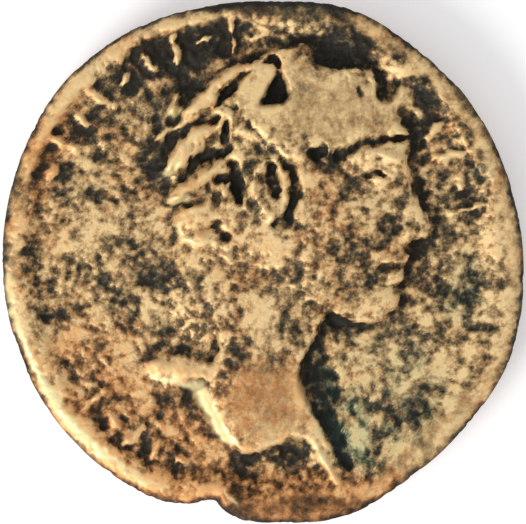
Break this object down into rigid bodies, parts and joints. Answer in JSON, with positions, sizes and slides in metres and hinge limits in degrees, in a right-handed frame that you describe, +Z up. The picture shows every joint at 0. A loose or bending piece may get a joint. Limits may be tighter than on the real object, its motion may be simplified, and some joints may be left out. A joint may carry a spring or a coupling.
{
  "type": "worn ancient bronze coin",
  "caption": "Worn struck bronze coin: laureate head to the right on the obverse, a draped standing figure on the reverse, a lobed edge with a split.",
  "frame": {"origin": "middle of the coin's bounding box, on the plane of the reverse rim that it lies on", "axes": "+Z up, out of the obverse; +Y towards the top of the portrait; +X the way the head looks"},
  "size_m": [0.0262, 0.0262, 0.0035],
  "materials": {
    "bronze": "worn tan-brown bronze on the high parts, dark brown and green-black patina in the pits and the ground"
  },
  "bodies": {
    "root": {"coin": "bronze"}
  },
  "joints": []
}
